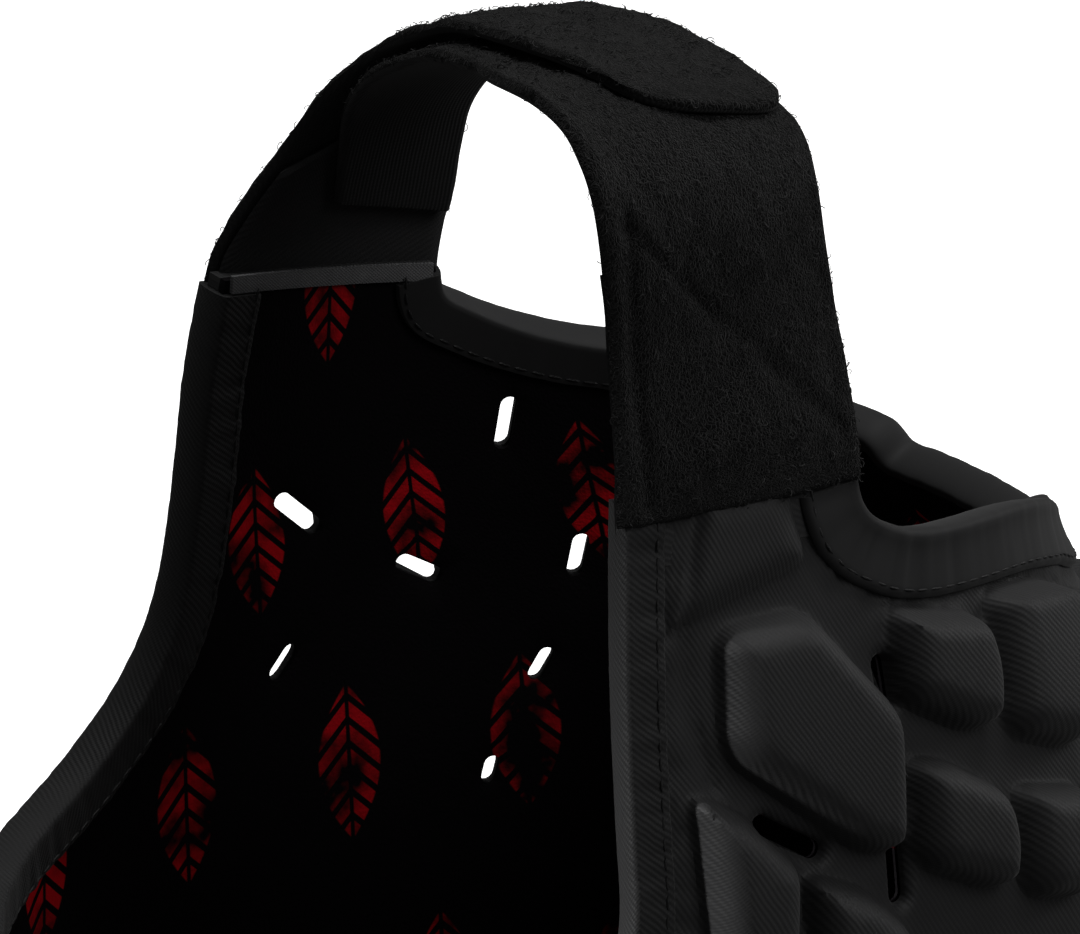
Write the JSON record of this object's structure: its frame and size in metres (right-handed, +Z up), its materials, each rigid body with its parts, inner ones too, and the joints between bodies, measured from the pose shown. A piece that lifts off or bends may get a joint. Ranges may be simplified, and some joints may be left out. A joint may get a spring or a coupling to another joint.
{
  "type": "rugby headguard",
  "caption": "Soft padded headguard lying crown down: vented foam panels with raised pads, lining, rim tapes and a closed chin strap arching over the open hollow.",
  "frame": {"origin": "middle of the guard at the floor under its crown, on which it lies upside down", "axes": "+Z up from the crown to the chin strap, -Y towards the wearer's face, +X towards the wearer's right"},
  "size_m": [0.1756, 0.2236, 0.268],
  "materials": {
    "shell_fabric": "fine twill over moulded foam",
    "lining_fabric": "matt knit with dark red figures",
    "binding_tape": "twill tape",
    "light_tape": "woven tape",
    "loop_pile": "brushed loop pile"
  },
  "bodies": {
    "root": {"right_side_panel": "shell_fabric", "left_side_panel": "shell_fabric", "centre_panel": "shell_fabric", "lining": "lining_fabric", "face_binding": "binding_tape", "ear_and_nape_binding": "binding_tape", "right_lining_tape": "light_tape", "left_lining_tape": "light_tape", "chin_strap_right": "loop_pile", "chin_strap_left": "loop_pile"}
  },
  "joints": []
}
